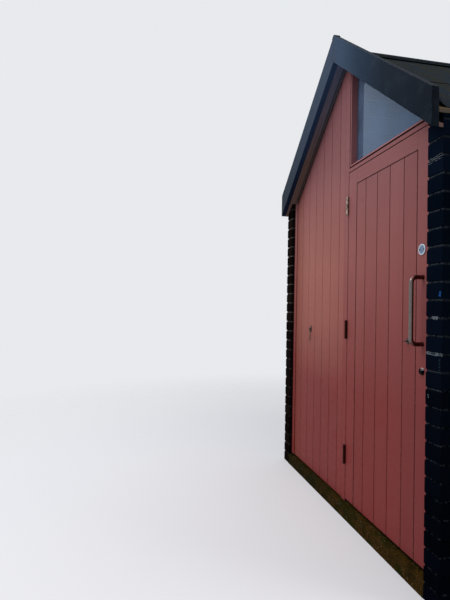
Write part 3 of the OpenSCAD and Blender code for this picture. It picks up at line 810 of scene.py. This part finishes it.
# %% [markdown]
# ## Mortar
# Each wall's mortar is one core, set back from the brick faces so that the joints are open.
# On the piers, which the eye meets first, a ragged ribbon of pointing lies in every bed
# joint. In some joints it was laid thick and pale, and it stands out over the bricks.

# %% Mortar cores
BED_GAP = 6 * MM
# The places of painted and bare mortar among a wall's materials, and three tones of mortar
PAINTED, BARE = 1, 2
SUNK, OPEN, PROUD = 0.35, 0.6, 1.0


def mortar_core(bm, low, high, *slopes):
    """A block of painted mortar inside a wall, set back from its faces and cut under the roof."""
    core = with_layers(bmesh.new())
    inset = Vector((BED_GAP, BED_GAP, 0))
    low, high = Vector(low) + inset, Vector(high) - inset
    add_block(core, (low + high) / 2, high - low)
    for side in slopes:
        cut_along_roof(core, UNDER_DECK + 2 * MM, side)
    core.normal_update()
    tone = core.faces.layers.float[TONE]
    for face in core.faces:
        face[tone] = SUNK if face.normal.y < -0.5 else OPEN
    mesh = bpy.data.meshes.new("mortar_core")
    core.to_mesh(mesh)
    core.free()
    bricks = set(bm.faces)
    bm.from_mesh(mesh)
    bpy.data.meshes.remove(mesh)
    for face in bm.faces:
        if face not in bricks:
            face.material_index = PAINTED


# %% Pointing
THIN, THICK = BED_GAP * 0.45, BED_GAP * 1.1
NOWHERE = (2, 2)


def point_joint(bm, x0, x1, z, seed, pale=NOWHERE, tall=0.6 * JOINT, lean=0.0):
    """A ragged ribbon of mortar on a pier's front face, thicker over the pale share of its width."""
    middle, reach = (x0 + x1) / 2, (x1 - x0) / 2
    made = bmesh.ops.create_grid(bm, x_segments=30, y_segments=5, size=1)["verts"]
    for vert in made:
        across, up = vert.co.x, vert.co.y
        share = (across + 1) / 2
        inside = min(share - pale[0], pale[1] - share) / 0.06 + 0.5
        proud = THIN + (THICK - THIN) * min(1.0, max(0.0, inside))
        x = middle + across * reach
        rough = noise.fractal(Vector((x * 160, z * 40 + up, seed)), 0.9, 2.1, 3)
        edge = noise.noise(Vector((x * 90, z * 30, seed + up * 7)))
        out = proud * (0.55 + 0.6 * rough) - BED_GAP * (1 - proud / BED_GAP) * up ** 2
        out -= 3 * MM * max(0, abs(across) - 0.86) / 0.14
        height = z + across * lean / 2 + up * (tall + proud * 1.6 - THIN) / 2 * (1 + 0.45 * edge)
        vert.co = (x, FRONT + BED_GAP - 1 * MM - max(out, -2 * MM), height)
    tone = bm.faces.layers.float[TONE]
    for face in {f for v in made for f in v.link_faces}:
        face[tone] = PROUD
        share = ((face.calc_center_median().x - middle) / reach + 1) / 2
        face.material_index = BARE if pale[0] < share < pale[1] else PAINTED


# By side and course: the share of a joint's width with thick, pale pointing, and the heights
# of thin smears from a joint's middle, in millimetres
PALE_POINTING = {(1, 14): (0.0, 1.0), (1, 16): (0.36, 0.78)}
SMEARED = {(1, 25): (-14, -5, 4)}


def point_pier(bm, side, x0, x1, rng):
    """Pointing in every bed joint of one pier's front face, and the thin smears near a joint."""
    for i in range(1, COURSES + 1):
        middle = i * COURSE - JOINT / 2
        point_joint(bm, x0, x1, middle, rng.random() * 50, PALE_POINTING.get((side, i), NOWHERE))
        for up in SMEARED.get((side, i), ()):
            point_joint(bm, x0, x1, middle + up * MM, rng.random() * 50, (0, 1), -4.5 * MM, 6 * MM)


# %% Build the walls


def keep_inside(bm, low, high):
    """Moves whatever stands out of a box back to its faces."""
    for vert in bm.verts:
        vert.co = [min(max(c, a), b) for c, a, b in zip(vert.co, low, high)]


def build_side_wall(name, side, seed, materials):
    """One party wall as a single piece: bricks, core and pointing."""
    rng = random.Random(seed)
    x0, x1 = sorted((side * WALL_IN, side * WALL_OUT))
    bm = side_wall_bricks(side, x0, x1, rng)
    mortar_core(bm, (x0, FRONT, 0), (x1, BACK, PLATE))
    mortar_core(bm, (x0, FRONT, PLATE), (x1, FRONT + BRICK_W, RIDGE), side)
    point_pier(bm, side, x0 + 2 * MM, x1 - 2 * MM, rng)
    keep_inside(bm, *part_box(name))
    make_piece(name + "_bricks", bm, materials, "hut", "painted_brick", name)


def build_back_wall(materials):
    """The back wall as a single piece; its mortar meets the side walls' at the toothed corners."""
    bm = back_wall_bricks(random.Random(31))
    inner = WALL_IN + 2 * BED_GAP
    mortar_core(bm, (-inner, BACK - BRICK_W, 0), (inner, BACK, PLATE))
    mortar_core(bm, (-WALL_OUT, BACK - BRICK_W, PLATE), (WALL_OUT, BACK, RIDGE), -1, 1)
    keep_inside(bm, (-WALL_OUT, -math.inf, 0), (WALL_OUT, BACK, math.inf))
    make_piece("back_wall_bricks", bm, materials, "hut", "painted_brick", "back_wall")


# Marks on the right pier: a colour, a reach in millimetres and the points that it is at
PIER_MARKS = (
    ("#1d4a86", 7, ((0.938, FRONT, 1.289), (0.940, FRONT, 1.3))),
    ("#565c57", 4, ((0.868, FRONT, 0.868), (0.871, FRONT, 0.858))),
    ("#20303c", 5, [(0.94, FRONT, up) for up in (1.022, 1.008, 0.994, 0.98)]))
LEFT_PAINT, RIGHT_PAINT = ("#0d0908", "#181210"), ("#040a13", "#0a121f")
LEFT_MORTAR, RIGHT_MORTAR = ("#17110f", "#6a625b", "#3f3d3a"), ("#05080e", "#3c444d", "#22272e")
BARE_MORTAR = ("#20252b", "#737b82", "#454c53")
paints = [
    painted_brick("black_masonry_paint", LEFT_PAINT, RIGHT_PAINT, PIER_MARKS),
    opened_mortar("painted_mortar", LEFT_MORTAR, RIGHT_MORTAR)]
bare_mortar = opened_mortar("bare_mortar", BARE_MORTAR, BARE_MORTAR)
build_side_wall("left_party_wall", -1, 11, [*paints, bare_mortar])
build_side_wall("right_party_wall", 1, 12, [*paints, bare_mortar])
build_back_wall(paints)

# %% [markdown]
# ## Floor slab
# The slab shows its worn front edge under the boards. It is a grid whose rim is extruded
# down in steps. Noise then pulls the rim in and lets the top dip, never outwards, so the slab
# still ends where the walls end.

# %% Build the slab
RIM_STEPS = (0.93, 0.8, 0.55, 0.25, 0.0)
WORN_REACH = 20 * MM
# The grid's rows lie closer together towards the worn front edge
CROWDING = 1.7


def build_slab():
    """A cast slab with a worn front edge and a slightly uneven top."""
    low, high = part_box("floor_slab")
    bm = with_layers(bmesh.new())
    bmesh.ops.create_grid(bm, x_segments=110, y_segments=60, size=0.5)
    for vert in bm.verts:
        x = (low.x + high.x) / 2 + vert.co.x * (high.x - low.x)
        y = low.y + (high.y - low.y) * (vert.co.y + 0.5) ** CROWDING
        vert.co = (x, y, high.z)
    rim = [e for e in bm.edges if e.is_boundary]
    for step in RIM_STEPS:
        done = bmesh.ops.extrude_edge_only(bm, edges=rim)
        for vert in (g for g in done["geom"] if isinstance(g, bmesh.types.BMVert)):
            vert.co.z = high.z * step
        rim = [g for g in done["geom"] if isinstance(g, bmesh.types.BMEdge) and g.is_boundary]
    bmesh.ops.holes_fill(bm, edges=rim, sides=0)
    for vert in bm.verts:
        rough = noise.fractal(vert.co * 28, 0.8, 2.0, 4)
        front = max(0, 1 - (vert.co.y - low.y) / WORN_REACH)
        top = vert.co.z / high.z
        if vert.co.z > 0:
            vert.co.y += front * MM * (2.5 + 3.5 * rough + 4 * top ** 8)
            vert.co.z -= MM * top ** 6 * (1.2 + 1.2 * rough + 4 * front)
    bmesh.ops.recalc_face_normals(bm, faces=bm.faces)
    make_piece("floor_slab_cast", bm, [concrete], "hut", "concrete", "floor_slab")


concrete = mossy_concrete("mossy_concrete")
build_slab()

# %% [markdown]
# ## Roof timbers
# Rafters, plates, ridge and eaves boards are sawn pieces, seen from inside when the door is
# open. Their edges are only just broken, as a saw and a few years leave them.

# %% Finish the roof timbers
softwood_level = sawn_softwood("sawn_softwood_level", LEVEL)
softwood_deep = sawn_softwood("sawn_softwood_front_to_back", DEEP)
softwood_upright = sawn_softwood("sawn_softwood_upright", UPRIGHT)
softwood_slope = sawn_softwood("sawn_softwood_sloping", SLOPING)
weathered = sawn_softwood("weathered_softwood", DEEP, 0.82)
for node, material in (
        ("wall_plates", softwood_deep), ("eaves_boards", weathered), ("rafters", softwood_slope),
        ("ridge_board", softwood_deep), ("panel_jamb", softwood_upright),
        ("panel_rails", softwood_level), ("left_gable_rail", softwood_slope)):
    finish_node(node, "bare_timber", material, 1.2)

# %% [markdown]
# ## Roof boards
# The felt lies on square-edged boards that run from front to back. They show as narrow gaps
# between the rafters. Each is a thin block turned to the slope and set out from the ridge.

# %% Build the roof boards
DECK_BOARD, DECK_GAP = 112 * MM, 2 * MM


def on_slope(side, down, y, out):
    """A point on one slope: so far down from the ridge, and so far out from the top of the felt."""
    return Vector((side * (down * COS + out * SIN), y, RIDGE - down * SIN + out * COS))


def build_deck(node, side):
    """Square-edged boards over the rafters on one slope, weathered at the eaves."""
    low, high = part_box(node)
    bm = with_layers(bmesh.new())
    rng = random.Random(41 + side)
    size = (DECK_BOARD - DECK_GAP, high.y - low.y, DECK_T - 0.1 * MM)
    turn = Matrix.Rotation(side * PITCH, 4, "Y")
    down = -DECK_BOARD / 2
    while down * COS < WALL_OUT:
        middle = on_slope(side, down + DECK_BOARD / 2, (low.y + high.y) / 2, -FELT_T - DECK_T / 2)
        add_block(bm, middle, size, turn, rng.random())
        down += DECK_BOARD
    for x, normal in ((0, -side), (side * WALL_OUT, side)):
        cut_off(bm, (x, 0, 0), (normal, 0, 0))
    round_edges(bm, 0.8 * MM, 1)
    for face in bm.faces:
        face.material_index = int(abs(face.calc_center_median().x) > WALL_OUT - 1 * MM)
    make_piece(node + "_boards", bm, [softwood_deep, weathered], "hut", "bare_timber", node)


build_deck("left_roof_deck", -1)
build_deck("right_roof_deck", 1)

# %% [markdown]
# ## Felt
# Two widths of felt cover each slope, the upper lapped over the lower, and both turned up
# over a fillet behind the bargeboards. Two strips are folded over the ridge. A sheet is a
# grid bent to the roof, rippled by noise and given its thickness, which keeps every lap real.

# %% Build the felt
UPSTAND = 35 * MM
SHEET_T = 2.8 * MM
SLOPE = WALL_OUT / COS
LAP_AT, LAP, LAP_RISE = SLOPE * 0.5, 90 * MM, 60 * MM
BASE_OUT = -FELT_T + 0.2 * MM


def sheet_grid(bm, across, place):
    """A closed sheet: a grid put in place by a function of two shares, then thickened."""
    made = bmesh.ops.create_grid(bm, x_segments=across, y_segments=110, size=0.5)["verts"]
    for vert in made:
        vert.co = place(vert.co.x + 0.5, vert.co.y + 0.5)
    faces = list({f for v in made for f in v.link_faces})
    bmesh.ops.recalc_face_normals(bm, faces=faces)
    if sum((f.normal for f in faces), Vector()).z < 0:
        bmesh.ops.reverse_faces(bm, faces=faces)
    bmesh.ops.solidify(bm, geom=faces, thickness=SHEET_T)


def lapped(down):
    """How far the upper sheet rises to lie over the edge of the lower one."""
    return SHEET_T * min(1.0, max(0.0, (down - LAP_AT + LAP_RISE) / LAP_RISE))


def felt_place(side, top, bottom, seed, lift, wavy):
    """A function that lays a sheet between two distances down the slope."""
    def place(share, run):
        y = VERGE + run * -2 * VERGE
        wave = noise.noise(Vector((y * 3, seed, 0))) * wavy
        down = top + (bottom + wave - top) * share
        ripple = noise.fractal(Vector((down * 5, y * 5, seed)), 1, 2, 2) * 0.8 * MM
        turned_up = max(0.0, UPSTAND - min(y - VERGE, -VERGE - y))
        point = on_slope(side, down, y, BASE_OUT + (lift(down) + ripple + turned_up + SHEET_T))
        point.x = side * min(max(side * point.x, 0.5 * MM), WALL_OUT - 0.2 * MM)
        return point
    return place


def build_felt(node, side):
    """The lower sheet and the lapped upper one on one slope."""
    bm = with_layers(bmesh.new())
    sheet_grid(bm, 22, felt_place(side, LAP_AT, SLOPE, 3 + side, lambda down: 0.0, 0.0))
    sheet_grid(bm, 26, felt_place(side, 5 * MM, LAP_AT + LAP, 9 + side, lapped, 5 * MM))
    make_piece(node + "_felt", bm, [felt], "hut", "roofing_felt", node)


# %% Build the ridge strips
FOLD = 7 * MM
# Each strip's width to one side, its underside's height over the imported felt, and a seed
STRIPS = ((118 * MM, -2.2 * MM, 1), (84 * MM, 0.8 * MM, 5))


def strip_place(wing, out, seed):
    """A function that folds a strip over the ridge."""
    low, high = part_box("ridge_capping")

    def place(share, run):
        y = low.y + (high.y - low.y) * run
        u = (share * 2 - 1) * (wing + noise.noise(Vector((y * 4, seed, share > 0.5))) * 3 * MM)
        fall = math.hypot(u, FOLD) - FOLD
        lift = (out + SHEET_T + noise.noise(Vector((u * 9, y * 7, seed))) * 0.5 * MM) / COS
        return Vector((u * COS, y, RIDGE + lift - fall * SIN))
    return place


def build_ridge_strips():
    """Two strips of felt folded over the ridge, one narrower on top of the other."""
    bm = with_layers(bmesh.new())
    for strip in STRIPS:
        sheet_grid(bm, 24, strip_place(*strip))
    cap_felt = mineral_felt("mineral_felt_ridge", "#1b222b", "#28281e")
    make_piece("ridge_capping_felt", bm, [cap_felt], "hut", "roofing_felt", "ridge_capping")


felt = mineral_felt("mineral_felt", "#242b34", "#2e2c1e")
build_felt("left_roof_covering", -1)
build_felt("right_roof_covering", 1)
build_ridge_strips()

# %% [markdown]
# ## Bargeboards and soffits
# The bargeboards are thick planed boards, their edges eased by many coats of paint. A small
# folded cap keeps rain out of the mitre at the apex.

# %% Finish the verge
slate = slate_paint("slate_blue_paint")
for node in ("left_bargeboard", "right_bargeboard", "back_left_bargeboard", "back_right_bargeboard"):
    finish_node(node, "slate_paint", slate, 2.5, segments=3)
finish_node("apex_cap", "lead", dark_lead("dark_sheet_lead"), 0.8)
soffit = soffit_paint("soffit_paint", "#6a534c", "#586480")
for node in ("left_soffit", "right_soffit"):
    finish_node(node, "soffit_paint", soffit, 1.0)
# The pink bead under the verge takes dark soffit colours: painted shade
finish_node("panel_verge_bead", "pink_paint", soffit_paint("bead_paint", "#3f2e2c", "#3a404e"), 2.0)

# %% [markdown]
# ## Boarded front
# The fixed panel, its trims and the frame round the door and window are all the same pink.
# Only the way the grain runs differs, and some pieces carry painted light and shade. The
# boards' backs are bare, as they are inside.

# %% Finish the front
PANEL_EDGE, PANEL_COVER = -69 * MM, 125 * MM
pink_panel = pink_paint("pink_satin_panel", UPRIGHT, (PANEL_EDGE, PANEL_COVER))
pink_upright = pink_paint("pink_satin_upright", UPRIGHT)
pink_level = pink_paint("pink_satin_level", LEVEL)
# The sloping rail and the undersides are darkened as painted shade, and the reveal is lightened as painted
# light
pink_shaded_slope = pink_paint("pink_satin_sloping", SLOPING, groove=False, over=(0.45, "#3a2224"))
pink_lit_reveal = pink_paint("pink_satin_reveal", LEVEL, groove=False, over=(0.32, "#b0777a"))
pink_shaded = pink_paint("pink_satin_shaded", LEVEL, groove=False, over=(0.9, "#180a0a"))
bare_backs = (softwood_upright, lambda face: face.normal.y > 0.5)
undersides = (pink_shaded, lambda face: face.normal.z < -0.9)
for node, *finish in (
        ("front_panel", pink_panel, 0.8, bare_backs), ("panel_edge_trim", pink_upright, 2.0),
        ("centre_post", pink_upright, 2.0), ("lock_jamb", pink_upright, 1.5), ("transom", pink_level, 1.0),
        ("right_gable_rail", pink_shaded_slope, 1.5), ("window_beads", pink_lit_reveal, 1.0, undersides)):
    finish_node(node, "pink_paint", *finish)

# %% [markdown]
# ## Window
# One sheet of float glass fills the gable. Its edges are ground, so they are bevelled.

# %% Finish the glass
finish_node("window_glass", "window_glass", float_glass("float_glass"), 0.5, segments=1)

# %% [markdown]
# ## Door
# Stiles and a top rail frame vertical boards, with ledges and braces behind. The frame's
# inner edges are eased more than the boards' own, and the joint between them is painted dark as shade.

# %% Finish the door
DOOR_COVER = 122 * MM
DOOR_EDGE = (DOOR_LOW.x + DOOR_HIGH.x) / 2 + DOOR_COVER / 2
CHIPS = (
    ("#5a352c", 4, ((0.2256, BOARD, 1.849), (0.232, BOARD, 1.843))),
    ("#54302a", 3, ((0.2215, BOARD, 1.856),)))
pink_door = pink_paint("pink_satin_door", UPRIGHT, (DOOR_EDGE, DOOR_COVER), chips=CHIPS)
pink_lining = pink_paint("pink_satin_lining", UPRIGHT, groove=False)
for node, *finish in (
        ("door_stiles", pink_upright, 1.8), ("door_top_rail", pink_level, 1.8),
        ("door_boards", pink_door, 0.8), ("door_ledges", pink_level, 2.0),
        ("door_braces", pink_lining, 2.0)):
    finish_node(node, "pink_paint", *finish)

# %% [markdown]
# ## Metalwork
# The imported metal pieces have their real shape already. Copies with a hair of bevel on each
# edge catch the light as worn metal does. The bent rods are round already and get none.

# %% Finish the metalwork
disc_low, disc_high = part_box("round_plate")
DISC = ((disc_low + disc_high) / 2, (disc_high - disc_low).x / 2)
DISC_FRONT = BOARD - 3 * MM
hinge = flaking_hinge("flaking_hinge_paint")
steel = brushed_steel("brushed_stainless_steel", "#6d6865", 0.28, grime_and_door_reflection=0.85)
plate_steel = brushed_steel("brushed_plate", "#71819a", 0.35, disc=DISC)
enamel = black_enamel("black_enamel")
zinc = dull_zinc("dull_zinc", "#6b5340")
dark_zinc = dull_zinc("dark_zinc", "#2e251c")
# Dark zinc for the plate's screw heads, and on its rim as painted shade
screw_steel = dull_zinc("screw_steel", "#2f2b29")


def is_screw_head_or_shaded_rim(face):
    """Whether a face of the round plate is a screw head, which stands out of it, or its rim, which is
    painted dark as shade.
    """
    return face.calc_center_median().y < DISC_FRONT - 0.3 * MM or abs(face.normal.y) < 0.9


for node, *finish in (
        ("frame_hinges", "hinge_steel", hinge, 0.4), ("door_hinges", "hinge_steel", hinge, 0.4),
        ("pull_handle", "satin_steel", steel, 0),
        ("round_plate", "satin_steel", plate_steel, 0.5, (screw_steel, is_screw_head_or_shaded_rim)),
        ("door_lock", "black_metal", enamel, 0.5),
        ("holdback_eye", "galvanised_steel", dark_zinc, 0),
        ("holdback_plate", "galvanised_steel", dark_zinc, 0.4),
        ("holdback_hook", "galvanised_steel", zinc, 0)):
    finish_node(node, *finish)
